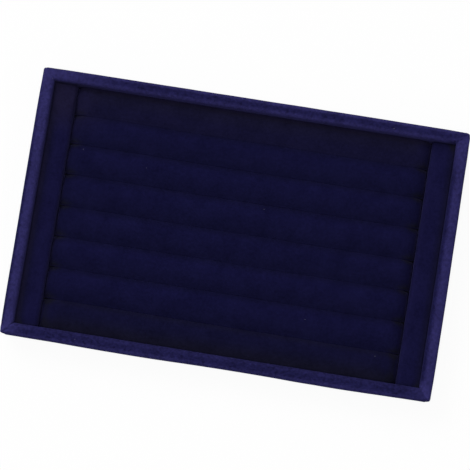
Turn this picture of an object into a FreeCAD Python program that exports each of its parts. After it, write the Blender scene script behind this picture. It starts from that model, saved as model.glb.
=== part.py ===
"""Velvet ring tray: a mitred wooden frame wrapped in velvet, with eight padded ring rolls between two bars.

Millimetres. The origin is the middle of the underside, +X runs along the rolls, +Y to the rear, +Z up.
"""
import FreeCAD, Part
import math
import os

# Tray over the velvet
TRAY_LENGTH = 350.0
TRAY_WIDTH = 220.0
TRAY_HEIGHT = 28.0

# Frame rails and the velvet wrapped over them, with the rim's radii in the wood
RAIL_THICKNESS = 8.0
RIM_OUTER_RADIUS = 1.2
RIM_INNER_RADIUS = 3.0
RAIL_CORNER_RADIUS = 2.0
VELVET_THICKNESS = 1.0

# Bottom: a base board in the rails' rebate, with a felt lining below it
BASE_THICKNESS = 3.0
BASE_CLEARANCE = 0.2
REBATE_WIDTH = 5.0
LINING_THICKNESS = 1.0
LINING_MARGIN = 3.0
LINING_CORNER_RADIUS = 4.0

# Card that the bars and rolls are glued on
INSERT_THICKNESS = 1.5
INSERT_CLEARANCE = 0.3

# End bars over their velvet, with the edge radius of the strip inside
BAR_WIDTH = 18.5
BAR_HEIGHT = 15.0
BAR_EDGE_RADIUS = 2.0
BAR_CLEARANCE = 0.3

# Ring rolls over their velvet: as many as fit at about the pitch, with tight slits between neighbours
ROLL_PITCH_WANTED = 25.0
ROLL_HEIGHT = 14.0
ROLL_CROWN_RADIUS = 26.0
ROLL_SHOULDER_RADIUS = 2.0
ROLL_DRAW_IN = 1.2
ROLL_SLIT = 0.4

# Rounded ends of the rolls: how far they reach along, and how much they drop and narrow
ROLL_END_REACH = 12.0
ROLL_END_DROP = 8.0
ROLL_END_NARROWING = 5.0
ROLL_END_BANDS = 3
ROLL_END_CLEARANCE = 0.4

# Brads of flat wire, flush with the wood
BRAD_WIDTH = 1.2
BRAD_THICKNESS = 1.0
BRAD_HEAD_WIDTH = 2.0
BRAD_HEAD_HEIGHT = 0.6
CORNER_BRAD_LENGTH = 20.0
CORNER_BRADS = 2
BASE_BRAD_LENGTH = 14.0
BASE_BRADS_ALONG = 3
BASE_BRADS_ACROSS = 2

# Levels, from the underside up
BASE_BOTTOM = LINING_THICKNESS
BASE_TOP = BASE_BOTTOM + BASE_THICKNESS
RAIL_BOTTOM = BASE_BOTTOM + VELVET_THICKNESS
RAIL_TOP = TRAY_HEIGHT - VELVET_THICKNESS
INSERT_TOP = BASE_TOP + INSERT_THICKNESS

# Plan sizes, from the outside in
WALL = RAIL_THICKNESS + 2 * VELVET_THICKNESS
FRAME_LENGTH = TRAY_LENGTH - 2 * VELVET_THICKNESS
FRAME_WIDTH = TRAY_WIDTH - 2 * VELVET_THICKNESS
INNER_LENGTH = TRAY_LENGTH - 2 * WALL
INNER_WIDTH = TRAY_WIDTH - 2 * WALL
OPEN_LENGTH = INNER_LENGTH + 2 * VELVET_THICKNESS
OPEN_WIDTH = INNER_WIDTH + 2 * VELVET_THICKNESS
REBATE_LENGTH = OPEN_LENGTH + 2 * REBATE_WIDTH
REBATE_BREADTH = OPEN_WIDTH + 2 * REBATE_WIDTH

# Places of the bars and the rolls on the card
BAR_CENTRE = INNER_LENGTH / 2 - BAR_CLEARANCE - BAR_WIDTH / 2
BAR_LENGTH = INNER_WIDTH - 2 * BAR_CLEARANCE
ROLL_LENGTH = 2 * (BAR_CENTRE - BAR_WIDTH / 2 - ROLL_END_CLEARANCE)
ROLL_COUNT = round(INNER_WIDTH / ROLL_PITCH_WANTED)
ROLL_PITCH = INNER_WIDTH / ROLL_COUNT
ROLL_WIDTH = ROLL_PITCH - ROLL_SLIT
ROLL_STRAIGHT = ROLL_LENGTH / 2 - ROLL_END_REACH

VERTICAL = FreeCAD.Vector(0, 0, 1)
TOLERANCE = 1e-6


def centred_box(length, width, bottom, top):
    """A box centred on the origin in plan, between two levels."""
    corner = FreeCAD.Vector(-length / 2, -width / 2, bottom)
    return Part.makeBox(length, width, top - bottom, corner)


def is_upright(edge):
    """True for an edge that runs straight up."""
    box = edge.BoundBox
    return max(box.XLength, box.YLength) < TOLERANCE < box.ZLength


def lies_at(edge, level):
    """True for an edge that lies all in one level."""
    box = edge.BoundBox
    return abs(box.ZMin - level) < TOLERANCE and abs(box.ZMax - level) < TOLERANCE


def lies_within(edge, length, width):
    """True for an edge with its middle in a rectangle about the origin."""
    middle = edge.CenterOfMass
    return abs(middle.x) < length / 2 + TOLERANCE and abs(middle.y) < width / 2 + TOLERANCE


def round_upright(solid, radius):
    """The solid with its upright corners rounded."""
    return solid.makeFillet(radius, [edge for edge in solid.Edges if is_upright(edge)])


def round_top(solid, radius, length, width):
    """The solid with those edges of its top rounded that lie within a rectangle."""
    top = solid.BoundBox.ZMax
    edges = [edge for edge in solid.Edges if lies_at(edge, top) and lies_within(edge, length, width)]
    return solid.makeFillet(radius, edges)


def frame_ring(offset, bottom):
    """The ring of the four rails, grown by an offset all round, with a rim that is rounder inside."""
    length = FRAME_LENGTH + 2 * offset
    width = FRAME_WIDTH + 2 * offset
    open_length = OPEN_LENGTH - 2 * offset
    open_width = OPEN_WIDTH - 2 * offset
    top = RAIL_TOP + offset
    outside = round_upright(centred_box(length, width, bottom, top), RAIL_CORNER_RADIUS + offset)
    outside = round_top(outside, RIM_OUTER_RADIUS + offset, length, width)
    ring = outside.cut(centred_box(open_length, open_width, bottom, top))
    return round_top(ring, RIM_INNER_RADIUS + offset, open_length, open_width)


def mitre_wedges():
    """One prism for each side of the tray, meeting its neighbours on the 45 degree mitres."""
    inner_x = INNER_LENGTH / 2
    inner_y = INNER_WIDTH / 2
    outer_x = inner_x + 2 * WALL
    outer_y = inner_y + 2 * WALL
    inner = [(inner_x, inner_y), (-inner_x, inner_y), (-inner_x, -inner_y), (inner_x, -inner_y)]
    outer = [(outer_x, outer_y), (-outer_x, outer_y), (-outer_x, -outer_y), (outer_x, -outer_y)]
    wedges = {}
    for index, side in enumerate(["rear", "left", "front", "right"]):
        after = (index + 1) % 4
        corners = [inner[index], outer[index], outer[after], inner[after], inner[index]]
        outline = Part.makePolygon([FreeCAD.Vector(x, y, 0) for x, y in corners])
        wedges[side] = Part.Face(outline).extrude(VERTICAL * TRAY_HEIGHT)
    return wedges


def brad(head, direction, length):
    """One brad with its head's top at a point, driven along a direction."""
    shank = centred_box(BRAD_WIDTH, BRAD_THICKNESS, 0, length)
    nail = shank.fuse(centred_box(BRAD_HEAD_WIDTH, BRAD_THICKNESS, 0, BRAD_HEAD_HEIGHT)).removeSplitter()
    nail.Placement = FreeCAD.Placement(head, FreeCAD.Rotation(VERTICAL, direction))
    return nail


def corner_brads():
    """Brads driven along X through the tip of each end rail into the middle of the long rail."""
    reach = FRAME_LENGTH / 2
    line = (FRAME_WIDTH - RAIL_THICKNESS) / 2
    spacing = (RAIL_TOP - BASE_TOP) / (CORNER_BRADS + 1)
    brads = []
    for end in (-1, 1):
        for side in (-1, 1):
            for step in range(1, CORNER_BRADS + 1):
                head = FreeCAD.Vector(end * reach, side * line, BASE_TOP + step * spacing)
                brads.append(brad(head, FreeCAD.Vector(-end, 0, 0), CORNER_BRAD_LENGTH))
    return Part.makeCompound(brads)


def base_brads():
    """Brads driven up through the base board into the part of each rail above the rebate."""
    places = []
    for side in (-1, 1):
        for step in range(BASE_BRADS_ALONG):
            along = (step + 0.5) / BASE_BRADS_ALONG - 0.5
            places.append((along * OPEN_LENGTH, side * (OPEN_WIDTH + REBATE_WIDTH) / 2))
        for step in range(BASE_BRADS_ACROSS):
            across = (step + 0.5) / BASE_BRADS_ACROSS - 0.5
            places.append((side * (OPEN_LENGTH + REBATE_WIDTH) / 2, across * OPEN_WIDTH))
    heads = [FreeCAD.Vector(x, y, BASE_BOTTOM) for x, y in places]
    return Part.makeCompound([brad(head, VERTICAL, BASE_BRAD_LENGTH) for head in heads])


def roll_size(along):
    """Half width and height of a roll at a place along X: the ends narrow and drop on an ellipse."""
    past = max(abs(along) - ROLL_STRAIGHT, 0) / ROLL_END_REACH
    rounding = 1 - math.sqrt(max(1 - past ** 2, 0))
    return ROLL_WIDTH / 2 - rounding * ROLL_END_NARROWING, ROLL_HEIGHT - rounding * ROLL_END_DROP


def roll_section(along):
    """Outline across a roll over its velvet: drawn-in sides, round shoulders and a crown."""
    half, height = roll_size(along)
    crown_z = height - ROLL_CROWN_RADIUS
    shoulder_y = half - ROLL_SHOULDER_RADIUS
    shoulder_reach = ROLL_CROWN_RADIUS - ROLL_SHOULDER_RADIUS
    turn = math.asin(shoulder_y / shoulder_reach)
    shoulder_z = crown_z + shoulder_reach * math.cos(turn)
    side_radius = (shoulder_z ** 2 + ROLL_DRAW_IN ** 2) / (2 * ROLL_DRAW_IN)
    side_turn = math.asin(shoulder_z / side_radius)
    upright = math.pi / 2

    def point(side, centre_y, centre_z, radius, angle):
        across = centre_y + radius * math.sin(angle)
        return FreeCAD.Vector(along, side * across, centre_z + radius * math.cos(angle))

    def half_outline(side):
        """Points of one half: foot, belly, waist, shoulder and start of the crown."""
        return [
            point(side, half - side_radius, shoulder_z, side_radius, upright + side_turn),
            point(side, half - side_radius, shoulder_z, side_radius, upright + side_turn / 2),
            point(side, shoulder_y, shoulder_z, ROLL_SHOULDER_RADIUS, upright),
            point(side, shoulder_y, shoulder_z, ROLL_SHOULDER_RADIUS, (upright + turn) / 2),
            point(side, 0, crown_z, ROLL_CROWN_RADIUS, turn),
        ]

    foot, belly, waist, shoulder, crown = half_outline(1)
    far_foot, far_belly, far_waist, far_shoulder, far_crown = half_outline(-1)
    edges = [
        Part.Arc(foot, belly, waist),
        Part.Arc(waist, shoulder, crown),
        Part.Arc(crown, FreeCAD.Vector(along, 0, height), far_crown),
        Part.Arc(far_crown, far_shoulder, far_waist),
        Part.Arc(far_waist, far_belly, far_foot),
        Part.LineSegment(far_foot, foot),
    ]
    return Part.Wire([edge.toShape() for edge in edges])


def foam_section(along):
    """Outline across the foam strip, inside the velvet: a flat foot, leaning sides and a crown."""
    half, height = [size - VELVET_THICKNESS for size in roll_size(along)]
    radius = ROLL_CROWN_RADIUS - VELVET_THICKNESS
    side_z = height - radius + math.sqrt(radius ** 2 - half ** 2)
    foot = FreeCAD.Vector(along, half - ROLL_DRAW_IN, 0)
    side = FreeCAD.Vector(along, half, side_z)
    crest = FreeCAD.Vector(along, 0, height)
    far_side = FreeCAD.Vector(along, -half, side_z)
    far_foot = FreeCAD.Vector(along, ROLL_DRAW_IN - half, 0)
    edges = [
        Part.LineSegment(foot, side),
        Part.Arc(side, crest, far_side),
        Part.LineSegment(far_side, far_foot),
        Part.LineSegment(far_foot, foot),
    ]
    return Part.Wire([edge.toShape() for edge in edges])


def roll_form():
    """A whole roll over its velvet on the floor at the origin, with its ends rounded over in bands."""
    turns = [math.pi / 2 * band / ROLL_END_BANDS for band in range(ROLL_END_BANDS + 1)]
    places = [ROLL_STRAIGHT + ROLL_END_REACH * math.sin(turn) for turn in turns]
    stations = [-along for along in reversed(places)] + places
    return Part.makeLoft([roll_section(along) for along in stations], True, True)


def roll_foam():
    """The foam strip inside a roll, cut to a taper under the tucked ends of the velvet."""
    tip = ROLL_LENGTH / 2 - VELVET_THICKNESS
    stations = [-tip, -ROLL_STRAIGHT, ROLL_STRAIGHT, tip]
    return Part.makeLoft([foam_section(along) for along in stations], True, True)


def bar_form(offset):
    """A bar's strip on the floor at the origin, with its long top edges rounded, grown by an offset."""
    width = BAR_WIDTH - 2 * VELVET_THICKNESS + 2 * offset
    length = BAR_LENGTH - 2 * VELVET_THICKNESS + 2 * offset
    height = BAR_HEIGHT - VELVET_THICKNESS + offset
    strip = centred_box(width, length, 0, height)
    long_edges = [edge for edge in strip.Edges if lies_at(edge, height) and edge.BoundBox.XLength < width / 2]
    return strip.makeFillet(BAR_EDGE_RADIUS + offset, long_edges)


def frame_parts():
    """Rails with their velvet, and the brads that pin the mitres."""
    base_space = centred_box(REBATE_LENGTH, REBATE_BREADTH, BASE_BOTTOM, BASE_TOP)
    wood = frame_ring(0, RAIL_BOTTOM)
    velvet = frame_ring(VELVET_THICKNESS, BASE_BOTTOM).cut(wood).cut(base_space)
    nails = corner_brads()
    rails = wood.cut(base_space).cut(nails).cut(base_brads())
    parts = {"corner_brads": nails}
    for side, wedge in mitre_wedges().items():
        parts[side + "_rail"] = rails.common(wedge)
        parts[side + "_rail_velvet"] = velvet.common(wedge)
    return parts


def bottom_parts():
    """Base board with its brads, and the lining that covers them and the velvet's hems."""
    gap = 2 * BASE_CLEARANCE
    board = centred_box(REBATE_LENGTH - gap, REBATE_BREADTH - gap, BASE_BOTTOM, BASE_TOP)
    nails = base_brads()
    margin = 2 * LINING_MARGIN
    lining = centred_box(TRAY_LENGTH - margin, TRAY_WIDTH - margin, 0, LINING_THICKNESS)
    return {
        "base_board": board.cut(nails),
        "base_brads": nails,
        "underside_lining": round_upright(lining, LINING_CORNER_RADIUS),
    }


def insert_parts():
    """Card, end bars and ring rolls."""
    gap = 2 * INSERT_CLEARANCE
    parts = {"insert_board": centred_box(INNER_LENGTH - gap, INNER_WIDTH - gap, BASE_TOP, INSERT_TOP)}
    bar_core = bar_form(0)
    bar_cover = bar_form(VELVET_THICKNESS).cut(bar_core)
    for side, sign in (("left", -1), ("right", 1)):
        place = FreeCAD.Vector(sign * BAR_CENTRE, 0, INSERT_TOP)
        parts[side + "_bar_core"] = bar_core.translated(place)
        parts[side + "_bar_velvet"] = bar_cover.translated(place)
    foam = roll_foam()
    cover = roll_form().cut(foam)
    for index in range(ROLL_COUNT):
        across = (index + 0.5) * ROLL_PITCH - INNER_WIDTH / 2
        place = FreeCAD.Vector(0, across, INSERT_TOP)
        parts[f"roll_{index + 1}_foam"] = foam.translated(place)
        parts[f"roll_{index + 1}_velvet"] = cover.translated(place)
    return parts


def main():
    os.makedirs("parts", exist_ok=True)
    parts = {**frame_parts(), **bottom_parts(), **insert_parts()}
    for name, shape in parts.items():
        print(f"{name}: {len(shape.Solids)} solids, {shape.Volume:.1f} mm3, valid {shape.isValid()}")
        shape.exportStep(f"parts/{name}.step")


main()
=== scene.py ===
"""Looks of the velvet ring tray: covers, padding, materials, light and camera."""

import bmesh
import bpy
import math
from mathutils import Matrix, Vector, noise


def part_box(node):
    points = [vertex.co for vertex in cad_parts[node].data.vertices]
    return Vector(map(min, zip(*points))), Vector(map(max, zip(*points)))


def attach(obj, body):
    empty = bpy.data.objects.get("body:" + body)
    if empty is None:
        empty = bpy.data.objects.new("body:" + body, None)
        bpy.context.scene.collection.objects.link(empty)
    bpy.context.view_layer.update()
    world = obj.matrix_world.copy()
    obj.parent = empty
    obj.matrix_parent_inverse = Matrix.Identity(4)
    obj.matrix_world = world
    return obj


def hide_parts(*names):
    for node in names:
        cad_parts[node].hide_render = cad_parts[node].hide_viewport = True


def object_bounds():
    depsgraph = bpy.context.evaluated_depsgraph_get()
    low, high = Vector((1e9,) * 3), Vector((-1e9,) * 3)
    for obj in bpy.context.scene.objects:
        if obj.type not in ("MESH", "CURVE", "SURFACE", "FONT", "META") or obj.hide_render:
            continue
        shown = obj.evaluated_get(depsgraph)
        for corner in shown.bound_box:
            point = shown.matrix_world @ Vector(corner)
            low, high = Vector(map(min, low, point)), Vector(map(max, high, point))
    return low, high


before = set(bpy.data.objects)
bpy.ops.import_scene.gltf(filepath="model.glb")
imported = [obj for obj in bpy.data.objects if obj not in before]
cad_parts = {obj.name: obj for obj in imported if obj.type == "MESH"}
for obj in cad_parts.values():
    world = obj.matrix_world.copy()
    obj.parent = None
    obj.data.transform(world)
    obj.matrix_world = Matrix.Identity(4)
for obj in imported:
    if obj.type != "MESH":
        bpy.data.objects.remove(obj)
cad_low, cad_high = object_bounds()
MM = 0.001

# Sizes read from the CAD nodes, in metres
HALF_LENGTH = cad_high.x
HALF_WIDTH = cad_high.y
RIM = cad_high.z
wrap_low, wrap_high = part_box("left_rail_velvet")
WALL = wrap_high.x - wrap_low.x
HEM_FLOOR = wrap_low.z
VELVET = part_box("left_rail")[0].x - wrap_low.x
HEM_GAP = 0.2 * MM
HEM_WIDTH = HALF_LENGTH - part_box("base_board")[1].x - HEM_GAP
SKIRT_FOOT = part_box("base_board")[1].z
CARD_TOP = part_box("insert_board")[1].z
ROLL_LOW, ROLL_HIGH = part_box("roll_1_velvet")
ROLL_COUNT = 8
PITCH = (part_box("roll_8_velvet")[0].y - ROLL_LOW.y) / (ROLL_COUNT - 1)

# Shapes of the velvet that the boxes don't give
RIM_OUTER = 2.2 * MM
RIM_INNER = 4.0 * MM
PLAN_RADIUS = 3.0 * MM
HEM_RADIUS = 1.0 * MM
HEM_INNER_RADIUS = 0.04 * MM
GLUE = 0.05 * MM
SEAM = 0.01 * MM
BAR_EDGE = 3.0 * MM
BAR_WALL_EDGE = 0.6 * MM
BAR_END = 1.0 * MM
BAR_SINK = 0.06 * MM
CROWN_RADIUS = 28 * MM
SHOULDER_RADIUS = 0.5 * MM
END_SHOULDER_RADIUS = 5.0 * MM
DRAW_IN = 1.2 * MM
SLIT = 0.08 * MM
WALL_GAP = 0.1 * MM
END_REACH = 12.0 * MM
END_DROP = 7.6 * MM
END_NARROWING = 0.9 * MM
FELT_CORNER = 4 * MM

# Fineness of the meshes: space between sections, reach for joining points, angle of a sharp edge, and steps
SPACING = 3 * MM
WELD = 0.002 * MM
SHARP_ANGLE = math.radians(50)
SIDE_STEPS = 6
FELT_COLUMNS = 86
FELT_ROWS = 54

# How far each slit between the rolls lies off an even spacing, from the front
SLIT_SHIFTS = [-0.4 * MM, 0.8 * MM, 1.1 * MM, 1.0 * MM, 2.3 * MM, 2.4 * MM, 1.2 * MM]

# Random waves along a slit or a crown: height, length, and two seeds, the first taken times its number
SLIT_WANDER = (0.45 * MM, 55 * MM, 3.7, 0.5)
SLIT_WOBBLE = (0.12 * MM, 14 * MM, 5.1, 9.5)
CROWN_FULLNESS = (0.30 * MM, 40 * MM, 7.3, 2.5)
CROWN_SWAY = (0.9 * MM, 60 * MM, 4.9, 6.5)

# Random bumps of the covers, each with its height and size, and the felt's uneven cut as a share and a size
WRAP_BUMPS = [(0.10 * MM, 26 * MM), (0.05 * MM, 7 * MM)]
BAR_BUMPS = [(0.08 * MM, 24 * MM), (0.04 * MM, 6 * MM)]
CROWN_DIMPLE = (0.10 * MM, 9 * MM)
FELT_DENT = (0.12 * MM, 18 * MM)
FELT_CUT = (0.0008, 30 * MM)

# Bow of the outer faces: mean, depth, place of a crest from the left or far end, and distance between crests
FRONT_BOW = (-0.15 * MM, 0.40 * MM, 105 * MM, 165 * MM)
REAR_BOW = (0, 0.20 * MM, 260 * MM, 520 * MM)
LEFT_BOW = (0.05 * MM, 0.38 * MM, 15 * MM, 390 * MM)
RIGHT_BOW = (0.38 * MM, 0.15 * MM, 125 * MM, 220 * MM)

# How far the outer faces draw in toward the corners, and how far the front wrap bulks out at its inner rim
CORNER_DRAW = 0.35 * MM
CORNER_DRAW_REACH = 25 * MM
FRONT_BULK = 0.8 * MM

# Creases at the corners of the frame: depth of the rumples, length of their folds, and a seed
NEAR_LEFT = (0.45 * MM, 9 * MM, 3.1)
NEAR_RIGHT = (0.25 * MM, 9 * MM, 4.2)
FAR_RIGHT = (0.60 * MM, 3 * MM, 2.4)
FAR_LEFT = (0.08 * MM, 9 * MM, 1.7)

# Creases at all corners: reach and width of the pleats, share and width of the mitre's crease, and a limit
PLEAT_REACH = 9 * MM
PLEAT_WIDTH = 1.7 * MM
CREASE_SHARE = 0.15
CREASE_WIDTH = 0.7 * MM
DEEPEST_CREASE = 0.75 * VELVET

# Starts and widths of changes on a wrap: by height, by depth, and by how far a face looks out or down
TOP_ZONE = (RIM - 6 * MM, 4 * MM)
INNER_HALF = (0.5 * WALL, 0.4 * WALL)
FACING_OUT = (0.3, 0.4)
FACING_DOWN = (-1, 0.6)

# Painted shading of the pile, from 0 for painted shade to 1 for painted sheen: on the flat, the outer and
# the inner edge
LEFT_RAIL_SHADING = (0.90, 0.44, 1.0)
RIGHT_RAIL_SHADING = (0.90, 0.80, 0.40)
REAR_RAIL_SHADING = (0.44, 0.90, 0.96)
FRONT_RAIL_SHADING = (0.44, 0.75, 0.58)
OUTER_SHADING_CHANGE = (1.5 * MM, 2.0 * MM)
INNER_SHADING_CHANGE = (WALL - 4.5 * MM, 3.5 * MM)
RUMPLE_HIGHLIGHT = 0.9
RUMPLE_HIGHLIGHT_BIAS = 0.2
BAR_SHADING = 0.22
ROLL_CROWN_SHADINGS = [0.07, 0.18, 0.18, 0.16, 0.175, 0.18, 0.16, 0.13]
ROLL_EDGE_SHADE = 0.06
FRONT_ROLL_EDGE_SHADE = 0.04
ROLL_END_SHADE_LEVEL = 0.11

# Strips of painted shade or painted light along an edge: strength, full width and width of the fade
BAR_WALL_SHADE = {"left": (0.175, 3.5 * MM, 6 * MM), "right": (0.17, 1.5 * MM, 6 * MM)}
BAR_ROLL_SIDE_LIGHT = (0.045, 0, 5 * MM)
BAR_FAR_SHADE = (0.14, 0, 8 * MM)
BAR_NEAR_SHADE = (0.09, 0, 6 * MM)
LEFT_BAR_EDGE_LIGHT = (0.22, 0, 2 * MM)
FRONT_WALL_SHADE = (0.03, 1 * MM, 14 * MM)
REAR_WALL_SHADE = (0.09, 4 * MM, 17 * MM)
REAR_GAP_LIGHT = (0.2, 0.3 * MM, 1.5 * MM)
ROLL_END_FACE_LIGHT = (0.6, 0, 2 * MM)
ROLL_END_SHADE = (1, 0, 15 * MM)
ROLL_END_NOTCH_SHADE = (1, 3 * MM, 11 * MM)
FRONT_ROLL_END_SHADE = (0.07, 2 * MM, 9 * MM)

# Strips of painted glare, a grey over the shade, with the same three values, and strengths of the painted
# glare elsewhere
LEFT_BAR_WALL_GLARE = (0.6, 1 * MM, 4 * MM)
LEFT_BAR_ROLL_GLARE = (0.3, 0, 2 * MM)
FRONT_WALL_GLARE = (0.15, 2 * MM, 8 * MM)
REAR_WALL_GLARE = (0.6, 0.5 * MM, 5 * MM)
ROLL_END_GLARE = (0.8, 0, 2.5 * MM)
BAR_GLARE = 0.12
FRONT_ROLL_GLARE = 0.04
REAR_ROLL_GLARE = 0.2
LIP_GLARE = 0.25

# Starts and widths of the painted shade across a roll, by the lean: -1 at its front edge and 1 at its rear
# edge
REAR_SLOPE = (0.5, 0.55)
FRONT_SLOPE_START = 0.45
END_SLOPE = (-1, 0.9)
REAR_NOTCH_SHADE = (0.5, 0.45)
FRONT_NOTCH_SHADE = (0.7, 0.3)
LIP = (0.9, 0.08)

# Painted light on a roll's lips along the slits: even, less by the lean, and less by the lean at its ends
LIP_LIGHT = 0.03
LIP_LEAN_LIGHT = 0.02
LIP_NOTCH_LIGHT = 0.06

# Painted sheen, a grey over the far left corner of the well: strength on wraps and bars, share on rolls,
# starts and reaches
CORNER_SHEEN = 0.85
ROLL_CORNER_SHEEN = 0.7
CORNER_SHEEN_RIGHT = (22 * MM, 48 * MM)
CORNER_SHEEN_NEAR = (24 * MM, 36 * MM)
CORNER_SHEEN_BELOW = (2 * MM, 3 * MM)

# Colours of the velvet by its painted shading, from painted shade, greyer as if by glare, to painted sheen,
# and the grey of painted glare and of lint on it
VELVET_TONES = [
    (0.0, (0.0068, 0.0068, 0.0135, 1)),
    (0.07, (0.0054, 0.0053, 0.0245, 1)),
    (0.22, (0.0063, 0.0060, 0.0342, 1)),
    (1.0, (0.0257, 0.0230, 0.0990, 1)),
]
GLARE_COLOUR = (0.0121, 0.0102, 0.0312, 1)
LINT_COLOUR = (0.09, 0.09, 0.13, 1)

# Contrast of the tufts by the painted shading, and of the broad patches
TUFT_CONTRASTS = [(0.2, 0.34), (0.45, 0.88), (0.9, 0.62)]
PATCH_CONTRAST = 0.33

# Lint: cells in a metre, size of a speck in its cell, and the share of the cells without one
LINT_CELLS = 150.0
LINT_SIZE = 0.05
LINT_FREE = 0.94

# Stage and camera, with the focal length in pixels of a picture of the given width, and turns in degrees
FLOOR_HALF = 4.0
FLOOR_GAP = 0.2 * MM
FLOOR_WHITE = 0.93
WORLD_LIGHT = 0.34
SENSOR = 36
FOCAL_PIXELS = 2004
PICTURE_PIXELS = 470
CAMERA_PLACE = Vector((44.2, -150.1, 1633.0)) * MM
CAMERA_TURNS = [(9.10, "Z"), (5.46, "X"), (0.72, "Y")]


def smooth(edge, width, value):
    """Rises from 0 to 1 as value goes from edge to edge + width."""
    share = min(max((value - edge) / width, 0), 1)
    return share * share * (3 - 2 * share)


def strip_at(strip, distance):
    """Strength of a strip at a distance from its edge: full over its width, then fading."""
    strength, width, fade = strip
    return strength * (1 - smooth(width, fade, distance))


def ripple(x, y, z, size):
    """Smooth random height from -1 to 1, with bumps of the given size."""
    return noise.noise(Vector((x, y, z)) / size)


def bumps_at(bumps, place):
    """Height of the random bumps of a cover at a place."""
    return sum(height * ripple(*place, size) for height, size in bumps)


def wave_at(wave, along, number):
    """Height of a random wave along a slit or a crown, with a run of its own for each number."""
    height, length, step, seed = wave
    return height * noise.noise(Vector((along / length, step * number, seed)))


def line(start, end, steps):
    """Points of a straight run in a section, without its last point."""
    return [
        (start[0] + (end[0] - start[0]) * i / steps, start[1] + (end[1] - start[1]) * i / steps)
        for i in range(steps)
    ]


def arc(centre, radius, start, end, steps):
    """Points of an arc in a section, without its last point, angles in degrees."""
    angles = [math.radians(start + (end - start) * i / steps) for i in range(steps)]
    return [
        (centre[0] + radius * math.cos(angle), centre[1] + radius * math.sin(angle))
        for angle in angles
    ]


def round_corner(across, along, radius):
    """Moves a point near a square corner, given by its distances from the two edges, onto a round one."""
    if across >= radius or along >= radius:
        return across, along
    out_across = radius - across
    out_along = radius - along
    length = math.hypot(out_across, out_along)
    if length == 0:
        return across, along
    share = max(out_across, out_along) / length
    return radius - out_across * share, radius - out_along * share


def grid_faces(rows, columns):
    """Faces of a grid of points."""
    faces = []
    for row in range(rows - 1):
        for column in range(columns - 1):
            corner = row * columns + column
            faces.append((corner, corner + 1, corner + columns + 1, corner + columns))
    return faces


def end_faces(rows, columns):
    """The two flat faces that close the ends of a form with arched rows."""
    last = (rows - 1) * columns
    return [tuple(range(columns)), tuple(range(last, last + columns))]


def shell(outer, inner, closed_ends=False):
    """Points and faces of the shell between two like grids, as a strip or as a cover with closed ends."""
    rows = len(outer)
    columns = len(outer[0])
    count = rows * columns
    points = [point for row in outer + inner for point in row]
    faces = grid_faces(rows, columns)
    first_end = list(range(columns))
    last_end = [(rows - 1) * columns + column for column in range(columns)]
    if closed_ends:
        faces += end_faces(rows, columns)
        first_end = [first_end[0], first_end[-1]]
        last_end = [last_end[0], last_end[-1]]
    faces += [tuple(count + index for index in face) for face in faces]
    border = first_end + [row * columns + columns - 1 for row in range(1, rows - 1)]
    border += last_end[::-1] + [row * columns for row in range(rows - 2, 0, -1)]
    for here, there in zip(border, border[1:] + border[:1]):
        faces.append((here, there, count + there, count + here))
    return points, faces


def closed_form(rows):
    """Points and faces of a padded form: arched rows from one flat end to the other, on a flat foot."""
    columns = len(rows[0])
    points = [point for row in rows for point in row]
    faces = grid_faces(len(rows), columns) + end_faces(len(rows), columns)
    for row in range(len(rows) - 1):
        first = row * columns
        last = first + columns - 1
        faces.append((first, first + columns, last + columns, last))
    return points, faces


def make_piece(name, points, faces, material, painted_shading=None, painted_glare=None):
    """A smooth mesh piece of the tray from points and faces, with its painted shading and its painted glare
    as attributes.
    """
    mesh = bpy.data.meshes.new(name)
    mesh.from_pydata(points, [], faces)
    for kind, values in (("painted_shading", painted_shading), ("painted_glare", painted_glare)):
        attribute = mesh.attributes.new(kind, "FLOAT", "POINT")
        attribute.data.foreach_set("value", values or [0.0] * len(points))
    work = bmesh.new()
    work.from_mesh(mesh)
    bmesh.ops.remove_doubles(work, verts=work.verts, dist=WELD)
    bmesh.ops.recalc_face_normals(work, faces=work.faces)
    work.to_mesh(mesh)
    work.free()
    mesh.shade_smooth()
    mesh.set_sharp_from_angle(angle=SHARP_ANGLE)
    mesh.materials.append(material)
    piece = bpy.data.objects.new(name, mesh)
    bpy.context.scene.collection.objects.link(piece)
    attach(piece, "root")
    return piece


# Materials


def new_material(name):
    """An empty material with its node tree and its shader."""
    material = bpy.data.materials.new(name)
    material.use_nodes = True
    tree = material.node_tree
    return material, tree, tree.nodes["Principled BSDF"]


def connect(tree, socket, value):
    """Links an output to a socket, or sets the socket to a plain value."""
    if isinstance(value, bpy.types.NodeSocket):
        tree.links.new(value, socket)
    else:
        socket.default_value = value


def add_node(tree, kind, properties=None, **inputs):
    """A shader node with its properties and its named inputs set or linked."""
    node = tree.nodes.new("ShaderNode" + kind)
    for name, value in (properties or {}).items():
        setattr(node, name, value)
    for name, value in inputs.items():
        connect(tree, node.inputs[name.replace("_", " ").title()], value)
    return node


def add_math(tree, operation, first, second):
    """The result of a sum, product or other operation on two numbers."""
    node = add_node(tree, "Math", {"operation": operation})
    connect(tree, node.inputs[0], first)
    connect(tree, node.inputs[1], second)
    return node.outputs[0]


def add_mix(tree, share, first, second):
    """A blend of two colours, all of the second where the share is 1."""
    node = add_node(tree, "Mix", {"data_type": "RGBA"})
    connect(tree, node.inputs["Factor"], share)
    connect(tree, node.inputs[6], first)
    connect(tree, node.inputs[7], second)
    return node.outputs[2]


def add_ramp(tree, share, stops):
    """A colour that runs through the given stops, each with its share and its colour."""
    node = add_node(tree, "ValToRGB", Fac=share)
    elements = node.color_ramp.elements
    for index in (0, -1):
        elements[index].position, elements[index].color = stops[index]
    for place, colour in stops[1:-1]:
        elements.new(place).color = colour
    return node.outputs["Color"]


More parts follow.
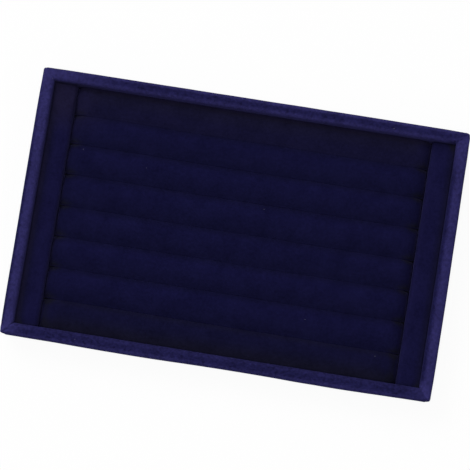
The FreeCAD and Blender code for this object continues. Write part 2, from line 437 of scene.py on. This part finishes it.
def add_noise(tree, size, detail=2.0, roughness=0.5, stretch=(1, 1, 1), low=0.0, high=1.0):
    """Noise with features of the given size in metres, mapped to the range from low to high."""
    place = add_node(tree, "TexCoord").outputs["Object"]
    scale = tuple(1 / (size * part) for part in stretch)
    mapped = add_node(tree, "Mapping", Vector=place, Scale=scale).outputs["Vector"]
    texture = add_node(tree, "TexNoise", Vector=mapped, Scale=1.0, Detail=detail, Roughness=roughness)
    spread = add_node(
        tree, "MapRange", Value=texture.outputs["Fac"], From_Min=0.25, From_Max=0.75, To_Min=low, To_Max=high
    )
    return spread.outputs["Result"]


def add_bump(tree, shader, height, distance, strength=1.0):
    """Fine relief on a shader, from a height of 0 to 1 that is worth the given distance."""
    bump = add_node(tree, "Bump", Height=height, Distance=distance, Strength=strength)
    tree.links.new(bump.outputs["Normal"], shader.inputs["Normal"])


def add_lint(tree):
    """1 on a few scattered specks and 0 elsewhere."""
    place = add_node(tree, "TexCoord").outputs["Object"]
    cells = add_node(tree, "TexVoronoi", Vector=place, Scale=LINT_CELLS)
    near = add_math(tree, "LESS_THAN", cells.outputs["Distance"], LINT_SIZE)
    chance = add_node(tree, "SeparateColor", Color=cells.outputs["Color"]).outputs["Red"]
    return add_math(tree, "MULTIPLY", near, add_math(tree, "GREATER_THAN", chance, LINT_FREE))


def velvet_material():
    """Navy velvet: short pile with tufts and patches, painted sheen and shade, a grey of painted glare and a
    few specks of lint.
    """
    material, tree, shader = new_material("navy_velvet")
    shading_level = add_node(tree, "Attribute", {"attribute_name": "painted_shading"}).outputs["Fac"]
    painted_glare = add_node(tree, "Attribute", {"attribute_name": "painted_glare"}).outputs["Fac"]
    # Colour from the painted shading: painted shade where low, painted sheen where high
    tone = add_ramp(tree, shading_level, VELVET_TONES)
    contrast = add_ramp(tree, shading_level, [(place, (grey, grey, grey, 1)) for place, grey in TUFT_CONTRASTS])
    pile = add_noise(tree, 0.5 * MM, 3.0, 0.7, low=0.7, high=1.3)
    tufts = add_noise(tree, 2.2 * MM, 2.0, 0.6, low=-0.5, high=0.5)
    tufts = add_math(tree, "MULTIPLY", tufts, contrast)
    patches = add_noise(tree, 16 * MM, 3.0, 0.6, low=-0.5, high=0.5)
    patches = add_math(tree, "MULTIPLY", patches, PATCH_CONTRAST)
    shade = add_math(tree, "ADD", add_math(tree, "ADD", tufts, patches), 1.0)
    shade = add_math(tree, "MULTIPLY", shade, pile)
    # Grey of painted glare over the shade, and of painted sheen in the far left corner
    greyed = add_mix(tree, painted_glare, tone, GLARE_COLOUR)
    colour = add_node(tree, "HueSaturation", Color=greyed, Value=shade).outputs["Color"]
    connect(tree, shader.inputs["Base Color"], add_mix(tree, add_lint(tree), colour, LINT_COLOUR))
    connect(tree, shader.inputs["Roughness"], add_noise(tree, 3 * MM, 2.0, 0.5, low=0.86, high=1.0))
    shader.inputs["Specular IOR Level"].default_value = 0.0
    shader.inputs["Sheen Weight"].default_value = 0.07
    shader.inputs["Sheen Roughness"].default_value = 0.45
    shader.inputs["Sheen Tint"].default_value = (0.30, 0.28, 0.85, 1)
    add_bump(tree, shader, add_noise(tree, 0.45 * MM, 3.0, 0.7), 0.18 * MM, 0.6)
    return material


def felt_material():
    """Dark felt: short matted fibres with a slight mottle."""
    material, tree, shader = new_material("dark_felt")
    fibres = add_noise(tree, 0.5 * MM, 5.0, 0.75, (1, 3, 1), 0.6, 1.4)
    mottle = add_noise(tree, 9 * MM, 3.0, 0.6, low=0.85, high=1.15)
    shade = add_math(tree, "MULTIPLY", fibres, mottle)
    colour = add_node(tree, "HueSaturation", Color=(0.014, 0.014, 0.024, 1), Value=shade)
    tree.links.new(colour.outputs["Color"], shader.inputs["Base Color"])
    connect(tree, shader.inputs["Roughness"], add_noise(tree, 2 * MM, low=0.88, high=1.0))
    shader.inputs["Specular IOR Level"].default_value = 0.1
    shader.inputs["Sheen Weight"].default_value = 0.15
    shader.inputs["Sheen Roughness"].default_value = 0.6
    add_bump(tree, shader, add_noise(tree, 0.5 * MM, 5.0, 0.75, (1, 3, 1)), 0.25 * MM, 0.7)
    return material


def wood_material(name, stretch):
    """Pale softwood with its grain drawn out along one direction."""
    material, tree, shader = new_material(name)
    grain = add_noise(tree, 2.2 * MM, 5.0, 0.6, stretch)
    tone = add_mix(tree, grain, (0.36, 0.21, 0.10, 1), (0.60, 0.42, 0.23, 1))
    fleck = add_noise(tree, 0.4 * MM, 3.0, 0.6, stretch, 0.88, 1.12)
    colour = add_node(tree, "HueSaturation", Color=tone, Value=fleck)
    tree.links.new(colour.outputs["Color"], shader.inputs["Base Color"])
    connect(tree, shader.inputs["Roughness"], add_noise(tree, 1.5 * MM, 3.0, 0.5, stretch, 0.55, 0.75))
    add_bump(tree, shader, grain, 0.1 * MM, 0.5)
    return material


def board_material(name, colour, fibre, contrast):
    """Pressed board or card: short fibres on a mottled ground."""
    material, tree, shader = new_material(name)
    fibres = add_noise(tree, fibre, 4.0, 0.7, (1, 2.5, 1), 1 - contrast, 1 + contrast)
    mottle = add_noise(tree, 12 * MM, 3.0, 0.55, low=0.9, high=1.1)
    shade = add_math(tree, "MULTIPLY", fibres, mottle)
    toned = add_node(tree, "HueSaturation", Color=colour, Value=shade)
    tree.links.new(toned.outputs["Color"], shader.inputs["Base Color"])
    connect(tree, shader.inputs["Roughness"], add_noise(tree, 2 * MM, low=0.8, high=1.0))
    shader.inputs["Specular IOR Level"].default_value = 0.1
    add_bump(tree, shader, fibres, 0.06 * MM, 0.5)
    return material


def steel_material():
    """Drawn steel wire with fine scratches along it."""
    material, tree, shader = new_material("bright_steel")
    scratches = add_noise(tree, 0.3 * MM, 4.0, 0.6, (6, 6, 1), 0.9, 1.1)
    colour = add_node(tree, "HueSaturation", Color=(0.56, 0.56, 0.58, 1), Value=scratches)
    tree.links.new(colour.outputs["Color"], shader.inputs["Base Color"])
    shader.inputs["Metallic"].default_value = 1.0
    connect(tree, shader.inputs["Roughness"], add_noise(tree, 0.3 * MM, 4.0, 0.6, (6, 6, 1), 0.25, 0.45))
    add_bump(tree, shader, scratches, 0.01 * MM, 0.4)
    return material


# Velvet wraps of the frame


def corner_sheen(place):
    """Painted sheen at a place: a grey strongest in the far left corner of the well."""
    right = max(place.x + HALF_LENGTH - CORNER_SHEEN_RIGHT[0], 0) / CORNER_SHEEN_RIGHT[1]
    near = max(HALF_WIDTH - CORNER_SHEEN_NEAR[0] - place.y, 0) / CORNER_SHEEN_NEAR[1]
    below = smooth(*CORNER_SHEEN_BELOW, RIM - place.z)
    return CORNER_SHEEN * below * (1 - smooth(0, 1, math.hypot(right, near)))


def wrap_section(inset):
    """Section of a rail's wrap as (depth from the outer face, height), from the hem to the inner foot."""
    hem = max(HEM_RADIUS - inset, HEM_INNER_RADIUS)
    outer = RIM_OUTER - inset
    inner = RIM_INNER - inset
    outside = inset
    inside = WALL - inset
    bottom = HEM_FLOOR + inset
    top = RIM - inset
    points = line((HEM_WIDTH, bottom), (outside + hem, bottom), 3)
    points += arc((outside + hem, bottom + hem), hem, 270, 180, 4)
    points += line((outside, bottom + hem), (outside, top - outer), 12)
    points += arc((outside + outer, top - outer), outer, 180, 90, 7)
    points += line((outside + outer, top), (inside - inner, top), 5)
    points += arc((inside - inner, top - inner), inner, 90, 0, 9)
    points += line((inside, top - inner), (inside, SKIRT_FOOT), 10)
    points.append((inside, SKIRT_FOOT))
    return points


def section_normals(section):
    """Outward direction at each point of a section."""
    normals = []
    for i in range(len(section)):
        before = section[max(i - 1, 0)]
        after = section[min(i + 1, len(section) - 1)]
        run = (after[0] - before[0], after[1] - before[1])
        length = math.hypot(*run)
        normals.append((-run[1] / length, run[0] / length))
    return normals


def wrap_stations(half):
    """Shares of the half length at which a wrap has its sections, closer near the mitres."""
    spaces = [0.0, 0.35, 0.7, 1.1, 1.6, 2.2, 3.0, 4.0, 5.2, 6.6, 8.2, 10.0]
    ends = [1 - space * MM / half for space in spaces]
    count = round(2 * ends[-1] * half / SPACING)
    middle = [ends[-1] * (1 - 2 * i / count) for i in range(1, count)]
    return ends + middle + [-share for share in reversed(ends)]


def bow_of(bow, half, from_start):
    """How far a rail's outer face swells at a distance from its left or far end, less near the corners."""
    mean, depth, crest, spacing = bow
    wave = math.cos(2 * math.pi * (from_start - crest) / spacing)
    corner = 1 - smooth(0, CORNER_DRAW_REACH, half - abs(from_start - half))
    return mean + depth * wave - CORNER_DRAW * corner


def mitred(share, half, depth):
    """Distances of a wrap's point from the outer face and from the rail's end, on the rounded corner."""
    from_end = half - abs(share) * (half - depth - SEAM)
    return round_corner(depth, from_end, PLAN_RADIUS)


def wrap_shading(painted_shading, corner_shading, corner_reach, depth, mitre):
    """Painted sheen and shade of a smooth wrap, at a depth from the outer face and a distance from the
    mitre.
    """
    flat_shading, outer_shading, inner_shading = painted_shading
    shading_level = outer_shading + (flat_shading - outer_shading) * smooth(*OUTER_SHADING_CHANGE, depth)
    shading_level += (inner_shading - flat_shading) * smooth(*INNER_SHADING_CHANGE, depth)
    return corner_shading + (shading_level - corner_shading) * smooth(0, corner_reach, mitre)


def make_wrap(side, turn, painted_shading, ends, bow, bulk, material):
    """A rail's velvet strip: hem, outer face, rounded rim and inner face, mitred and creased at both ends.

    Each end is given as the painted sheen or shade at its corner, the reach of that shading, and the
    corner's creases.
    """
    rail = side + "_rail"
    half, reach = (HALF_WIDTH, HALF_LENGTH) if turn % 180 else (HALF_LENGTH, HALF_WIDTH)
    bow_start = -1 if turn in (0, 270) else 1
    outer_section = wrap_section(0)
    inner_section = wrap_section(VELVET - GLUE)
    normals = section_normals(outer_section)
    turned = Matrix.Rotation(math.radians(turn), 3, "Z")
    outer = []
    inner = []
    painted_shadings = []
    for share in wrap_stations(half):
        end = 1 if share > 0 else -1
        corner_shading, corner_reach, rumple, fold, seed = ends[0] if share > 0 else ends[1]
        swing = bow_of(bow, half, half - bow_start * share * half)
        outer_row = []
        inner_row = []
        for point, normal, below in zip(outer_section, normals, inner_section):
            depth, up = point
            from_end = half - abs(share) * (half - depth)
            mitre = (from_end - depth) / math.sqrt(2)
            seat = turned @ Vector((end * (half - from_end), depth - reach, up))
            top = smooth(*TOP_ZONE, up)
            near = 1 - smooth(0, PLEAT_REACH, mitre)
            across = mitre if turn % 180 else -mitre
            pleat = noise.noise(Vector((across / PLEAT_WIDTH, (from_end + depth) / fold, seed)))
            push = bumps_at(WRAP_BUMPS, seat) + rumple * pleat * near
            push += bulk * top * smooth(*INNER_HALF, depth)
            push += swing * smooth(*FACING_OUT, -normal[0])
            push -= CREASE_SHARE * rumple * math.exp(-((mitre / CREASE_WIDTH) ** 2))
            push = max(push, -DEEPEST_CREASE) * smooth(*FACING_DOWN, normal[1])
            moved, from_end = mitred(share, half, depth + push * normal[0])
            raised = up + push * normal[1]
            outer_row.append(turned @ Vector((end * (half - from_end), moved - reach, raised)))
            lower, from_end = mitred(share, half, below[0])
            inner_row.append(turned @ Vector((end * (half - from_end), lower - reach, below[1])))
            shading_level = wrap_shading(painted_shading, corner_shading, corner_reach, depth, mitre)
            # Painted highlights and shade on the rumpled folds near the corners
            shading_level += RUMPLE_HIGHLIGHT * rumple / MM * (pleat + RUMPLE_HIGHLIGHT_BIAS) * near * top
            painted_shadings.append(min(max(shading_level, 0), 1))
        outer.append(outer_row)
        inner.append(inner_row)
    points, faces = shell(outer, inner)
    # Painted sheen greying the far left corner of the well
    painted_glare = [corner_sheen(point) for point in points]
    piece = make_piece(side + "_wrap", points, faces, material, painted_shadings + painted_shadings, painted_glare)
    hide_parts(rail + "_velvet")


# Velvet covers of the bars and padded rolls


def stations(half, reach):
    """Places along a strip as (along, turn): the turn goes to 1 where an end has rounded over its reach."""
    end = []
    for degrees in range(90, -1, -10):
        angle = math.radians(degrees)
        end.append((half - reach * (1 - math.sin(angle)), 1 - math.cos(angle)))
    straight = half - reach
    count = round(2 * straight / SPACING)
    middle = [(straight - 2 * straight * i / count, 0) for i in range(1, count)]
    return end + middle + [(-along, turn) for along, turn in reversed(end)]


def bar_section(half, height, left_edge, right_edge):
    """Section of a bar's cover as (across, up), from one foot over the top to the other."""
    points = line((-half, 0), (-half, height - left_edge), 6)
    points += arc((-half + left_edge, height - left_edge), left_edge, 180, 90, 6)
    points += line((-half + left_edge, height), (half - right_edge, height), 8)
    points += arc((half - right_edge, height - right_edge), right_edge, 90, 0, 6)
    points += line((half, height - right_edge), (half, 0), 6)
    points.append((half, 0))
    return points


def bar_painted_light(side, outward, across, along, half, length):
    """Painted shading and glare at a place on a bar's cover: painted shade by the wall and ends, light or
    shade on the roll side.
    """
    from_wall = half - outward * across
    from_rolls = half + outward * across
    # Painted shade along the wall side of the bar
    shading_level = BAR_SHADING - strip_at(BAR_WALL_SHADE[side], from_wall)
    # Painted light on a roll side that faces the lamp, painted shade on one that faces away
    shading_level += outward * strip_at(BAR_ROLL_SIDE_LIGHT, from_rolls)
    # Painted shade toward the far and the near wall
    shading_level -= strip_at(BAR_FAR_SHADE, length - along)
    shading_level -= strip_at(BAR_NEAR_SHADE, length + along)
    # Even grey of painted glare, more in the shade by the wall and the gap
    painted_glare = BAR_GLARE
    if side == "left":
        # Painted light on the left bar's edge by the rolls, against the shade of the gap
        shading_level += strip_at(LEFT_BAR_EDGE_LIGHT, from_rolls)
        painted_glare = max(painted_glare, strip_at(LEFT_BAR_WALL_GLARE, from_wall), strip_at(LEFT_BAR_ROLL_GLARE, from_rolls))
    return max(shading_level, 0), painted_glare


def make_bar(side, material):
    """The velvet cover of the bar beside the roll ends, stretched over its core."""
    low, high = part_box(side + "_bar_velvet")
    centre = (low + high) / 2
    half = (high.x - low.x) / 2
    height = high.z - low.z
    length = (high.y - low.y) / 2
    outward = -1 if side == "left" else 1
    grids = []
    painted_shadings = []
    painted_glares = []
    for thickness in (0, VELVET - GLUE):
        edges = [max(edge - thickness, GLUE) for edge in (BAR_WALL_EDGE, BAR_EDGE)][::-outward]
        rows = []
        for along, turn in stations(length - thickness, BAR_END - thickness):
            row = []
            shrink = turn * (BAR_END - thickness) + thickness
            for across, up in bar_section(half - shrink, height - shrink, *edges):
                seat = Vector((centre.x + across, centre.y + along, low.z + up))
                if thickness == 0:
                    lift = bumps_at(BAR_BUMPS, seat) - BAR_SINK
                    seat.z += lift * smooth(0.4 * height, 0.5 * height, up)
                row.append(seat)
                painted_shading, painted_glare = bar_painted_light(side, outward, across, along, half, length)
                painted_shadings.append(painted_shading)
                painted_glares.append(max(corner_sheen(seat), painted_glare))
            rows.append(row)
        grids.append(rows)
    points, faces = shell(*grids, closed_ends=True)
    piece = make_piece(side + "_bar_cover", points, faces, material, painted_shadings, painted_glares)
    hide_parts(side + "_bar_velvet")


def roll_section(half, height, radius):
    """Section of a ring roll as (across, up): flat foot, drawn-in sides, round shoulders and a low crown."""
    crown = height - CROWN_RADIUS
    inner = half - radius
    shoulder = crown + math.sqrt((CROWN_RADIUS - radius) ** 2 - inner ** 2)
    meet = math.degrees(math.atan2(shoulder - crown, inner))
    right = arc((0, crown), CROWN_RADIUS, 90, meet, 10)
    right += arc((inner, shoulder), radius, meet, 0, 8)
    for i in range(SIDE_STEPS + 1):
        share = i / SIDE_STEPS
        right.append((half - DRAW_IN * share ** 2, shoulder * (1 - share)))
    left = [(-across, up) for across, up in reversed(right[1:])]
    return left + right


def slit_place(number, along):
    """Where the slit before a roll runs: straight at the walls, slightly wandering between the rolls."""
    nominal = PITCH * (number - ROLL_COUNT / 2)
    if number in (0, ROLL_COUNT):
        return nominal - math.copysign(WALL_GAP, nominal)
    nominal += SLIT_SHIFTS[number - 1]
    return nominal + wave_at(SLIT_WANDER, along, number) + wave_at(SLIT_WOBBLE, along, number)


def roll_painted_light(number, across, along, half, half_length):
    """Painted shading and glare at a place on a roll: painted shade toward its slits, its ends and the
    walls, painted light on its lips.
    """
    lean = across / half
    from_front = half + across
    from_rear = half - across
    from_end = half_length - abs(along)
    crown_shading = ROLL_CROWN_SHADINGS[number - 1]
    edge_shading = FRONT_ROLL_EDGE_SHADE if number == 1 else ROLL_EDGE_SHADE
    # Painted shade toward both slits of the roll
    edge = smooth(*REAR_SLOPE, lean) + max(FRONT_SLOPE_START - lean, 0) / (FRONT_SLOPE_START + 1)
    shading_level = crown_shading + (edge_shading - crown_shading) * edge
    painted_glare = 0
    if number == 1:
        # Painted shadow of the front wall, greyed by painted glare
        shading_level -= strip_at(FRONT_WALL_SHADE, from_front)
        painted_glare = FRONT_ROLL_GLARE + strip_at(FRONT_WALL_GLARE, from_front)
    if number == ROLL_COUNT:
        # Painted shadow of the rear wall, painted light at the gap beside it, greyed by painted glare
        shading_level -= strip_at(REAR_WALL_SHADE, from_rear)
        shading_level += strip_at(REAR_GAP_LIGHT, from_rear)
        painted_glare = REAR_ROLL_GLARE + strip_at(REAR_WALL_GLARE, from_rear)
    # Painted shade over the roll ends, lighter on their steep end faces
    end_shading = (ROLL_END_SHADE_LEVEL + strip_at(ROLL_END_FACE_LIGHT, from_end)) * smooth(*END_SLOPE, lean)
    shading_level += (end_shading - shading_level) * strip_at(ROLL_END_SHADE, from_end)
    # Painted shade on the shoulders beside the ends of the slits
    notch_shade = strip_at(ROLL_END_NOTCH_SHADE, from_end)
    shading_level *= 1 - notch_shade * (smooth(*REAR_NOTCH_SHADE, lean) + smooth(*FRONT_NOTCH_SHADE, -lean))
    # Painted light on the lips along the slits, against their shade
    lip = smooth(*LIP, abs(lean))
    shading_level += (LIP_LIGHT - (LIP_LEAN_LIGHT + LIP_NOTCH_LIGHT * notch_shade) * lean) * lip
    # Painted shade at the front roll's ends
    if number == 1:
        shading_level -= strip_at(FRONT_ROLL_END_SHADE, from_end)
    # Grey of painted glare on shaded lips and roll ends
    painted_glare = max(painted_glare, LIP_GLARE * notch_shade * lip * (1 - lean), strip_at(ROLL_END_GLARE, from_end))
    return max(shading_level, 0), painted_glare


def make_roll(number, material):
    """A padded ring roll under velvet, with soft ends and a slightly uneven crown."""
    half_length = (ROLL_HIGH.x - ROLL_LOW.x) / 2
    height = ROLL_HIGH.z - ROLL_LOW.z
    dimple_height, dimple_size = CROWN_DIMPLE
    rows = []
    painted_shadings = []
    painted_glares = []
    for along, turn in stations(half_length, END_REACH):
        front = slit_place(number - 1, along) + SLIT / 2
        back = slit_place(number, along) - SLIT / 2
        half = (back - front) / 2 - turn * END_NARROWING
        fullness = wave_at(CROWN_FULLNESS, along, number)
        sway = wave_at(CROWN_SWAY, along, number)
        radius = SHOULDER_RADIUS + math.sqrt(turn) * (END_SHOULDER_RADIUS - SHOULDER_RADIUS)
        row = []
        for across, up in roll_section(half, height - turn * END_DROP, radius):
            crest = max(0, 1 - (across / half) ** 2) * up / height
            dimple = dimple_height * ripple(along, across, number, dimple_size) * crest
            place = (front + back) / 2 + across + sway * crest
            row.append(Vector((along, place, CARD_TOP + up + fullness * crest + dimple)))
            painted_shading, painted_glare = roll_painted_light(number, across, along, half, half_length)
            painted_shadings.append(painted_shading)
            # Painted sheen of the far left corner, weaker on the rolls
            painted_glares.append(max(ROLL_CORNER_SHEEN * corner_sheen(row[-1]), painted_glare))
        rows.append(row)
    points, faces = closed_form(rows)
    piece = make_piece(f"ring_roll_{number}", points, faces, material, painted_shadings, painted_glares)
    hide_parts(f"roll_{number}_velvet", f"roll_{number}_foam")


def lining_shares(half, count):
    """Places across the lining as shares of its half size, closer together at the round corners."""
    even = [-1 + 2 * i / count for i in range(count + 1)]
    corner = [1 - share * FELT_CORNER / half for share in (0.25, 0.5, 0.75)]
    return sorted(even + corner + [-share for share in corner])


def make_lining(material):
    """The felt sheet under the tray, with round corners and a slightly uneven cut edge."""
    low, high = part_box("underside_lining")
    half_x = (high.x - low.x) / 2
    half_y = (high.y - low.y) / 2
    cut_share, cut_size = FELT_CUT
    dent_depth, dent_size = FELT_DENT
    grids = []
    for level in (low.z, high.z - GLUE):
        grid = []
        for v in lining_shares(half_y, FELT_ROWS):
            row = []
            for u in lining_shares(half_x, FELT_COLUMNS):
                edge_x, edge_y = round_corner(half_x * (1 - abs(u)), half_y * (1 - abs(v)), FELT_CORNER)
                x = math.copysign(half_x - edge_x, u)
                y = math.copysign(half_y - edge_y, v)
                cut = 1 + cut_share * ripple(x, y, 0, cut_size)
                dent = dent_depth * (0.5 + 0.5 * ripple(x, y, 0, dent_size)) if level == low.z else 0
                row.append(Vector((x * cut, y * cut, level + dent)))
            grid.append(row)
        grids.append(grid)
    points, faces = shell(*grids)
    piece = make_piece("felt_lining", points, faces, material)
    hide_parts("underside_lining")


# Pieces of the tray: of the two ends of a wrap, the first is at its right as seen from outside the tray
velvet = velvet_material()
# Each end: painted sheen or shade at the corner, its reach, and the corner's creases
front_ends = [(0.62, 14 * MM, *NEAR_RIGHT), (0.80, 14 * MM, *NEAR_LEFT)]
rear_ends = [(0.96, 50 * MM, *FAR_LEFT), (0.55, 9 * MM, *FAR_RIGHT)]
right_ends = [(0.96, 30 * MM, *FAR_RIGHT), (1.0, 8 * MM, *NEAR_RIGHT)]
left_ends = [(1.0, 8 * MM, *NEAR_LEFT), (0.96, 60 * MM, *FAR_LEFT)]
make_wrap("front", 0, FRONT_RAIL_SHADING, front_ends, FRONT_BOW, FRONT_BULK, velvet)
make_wrap("rear", 180, REAR_RAIL_SHADING, rear_ends, REAR_BOW, 0, velvet)
make_wrap("right", 90, RIGHT_RAIL_SHADING, right_ends, RIGHT_BOW, 0, velvet)
make_wrap("left", 270, LEFT_RAIL_SHADING, left_ends, LEFT_BOW, 0, velvet)
make_bar("left", velvet)
make_bar("right", velvet)
for roll in range(1, ROLL_COUNT + 1):
    make_roll(roll, velvet)
make_lining(felt_material())

# Materials of the CAD nodes that stay
wood_along_x = wood_material("softwood_along", (14, 1, 1))
wood_along_y = wood_material("softwood_across", (1, 14, 1))
steel = steel_material()
node_materials = {
    "front_rail": wood_along_x,
    "rear_rail": wood_along_x,
    "left_rail": wood_along_y,
    "right_rail": wood_along_y,
    "left_bar_core": wood_along_y,
    "right_bar_core": wood_along_y,
    "base_board": board_material("brown_hardboard", (0.17, 0.09, 0.045, 1), 0.6 * MM, 0.3),
    "insert_board": board_material("black_card", (0.006, 0.006, 0.012, 1), 0.4 * MM, 0.2),
    "corner_brads": steel,
    "base_brads": steel,
}
for name, material in node_materials.items():
    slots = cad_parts[name].data.materials
    slots.clear()
    slots.append(material)


# Floor, light and camera


def make_floor():
    """White floor that stays white behind the tray and keeps a faint shadow."""
    mesh = bpy.data.meshes.new("floor")
    corners = [(x * FLOOR_HALF, y * FLOOR_HALF, 0) for x, y in ((-1, -1), (1, -1), (1, 1), (-1, 1))]
    mesh.from_pydata(corners, [], [(0, 1, 2, 3)])
    floor = bpy.data.objects.new("floor", mesh)
    floor.location.z = -FLOOR_GAP
    bpy.context.scene.collection.objects.link(floor)
    material = bpy.data.materials.new("white_floor")
    material.use_nodes = True
    tree = material.node_tree
    tree.nodes.clear()
    matte = add_node(tree, "BsdfDiffuse", Color=(0.9, 0.9, 0.9, 1))
    bright = add_node(tree, "Emission", Color=(1, 1, 1, 1), Strength=1.0)
    path = add_node(tree, "LightPath")
    seen = add_math(tree, "MAXIMUM", path.outputs["Is Camera Ray"], path.outputs["Is Glossy Ray"])
    seen = add_math(tree, "MAXIMUM", seen, path.outputs["Is Transmission Ray"])
    share = add_math(tree, "MULTIPLY", seen, FLOOR_WHITE)
    blend = add_node(tree, "MixShader", Fac=share)
    tree.links.new(matte.outputs[0], blend.inputs[1])
    tree.links.new(bright.outputs[0], blend.inputs[2])
    output = add_node(tree, "OutputMaterial")
    tree.links.new(blend.outputs[0], output.inputs["Surface"])
    mesh.materials.append(material)


def make_world():
    """Even pale light from all round, white where it is seen."""
    world = bpy.data.worlds.new("studio")
    bpy.context.scene.world = world
    world.use_nodes = True
    tree = world.node_tree
    background = tree.nodes["Background"]
    background.inputs["Color"].default_value = (1, 1, 1, 1)
    path = add_node(tree, "LightPath")
    seen = add_math(tree, "MAXIMUM", path.outputs["Is Camera Ray"], path.outputs["Is Transmission Ray"])
    span = add_node(tree, "MapRange", Value=seen, To_Min=WORLD_LIGHT, To_Max=1.0)
    tree.links.new(span.outputs["Result"], background.inputs["Strength"])


def make_lamp(name, place, size, power):
    """A soft square lamp that faces the tray."""
    data = bpy.data.lights.new(name, "AREA")
    data.size = size
    data.energy = power
    lamp = bpy.data.objects.new(name, data)
    lamp.location = place
    lamp.rotation_mode = "QUATERNION"
    lamp.rotation_quaternion = (-Vector(place)).to_track_quat("-Z", "Y")
    bpy.context.scene.collection.objects.link(lamp)


def make_camera():
    """Camera high over the tray, turned so that the tray lies askew in the picture."""
    data = bpy.data.cameras.new("camera")
    data.sensor_width = SENSOR
    data.lens = FOCAL_PIXELS * SENSOR / PICTURE_PIXELS
    data.clip_start = 0.01
    data.clip_end = 20
    camera = bpy.data.objects.new("camera", data)
    turn = Matrix.Identity(3)
    for degrees, axis in CAMERA_TURNS:
        turn = turn @ Matrix.Rotation(math.radians(degrees), 3, axis)
    camera.matrix_world = Matrix.Translation(CAMERA_PLACE) @ turn.to_4x4()
    bpy.context.scene.collection.objects.link(camera)
    bpy.context.scene.camera = camera


make_floor()
make_world()
make_lamp("key", place=(-1.9, 1.7, 2.8), size=2.2, power=75.0)
make_lamp("fill", place=(0.05, -0.16, 1.7), size=0.5, power=10.0)
make_camera()
bpy.context.scene.view_settings.view_transform = "Standard"
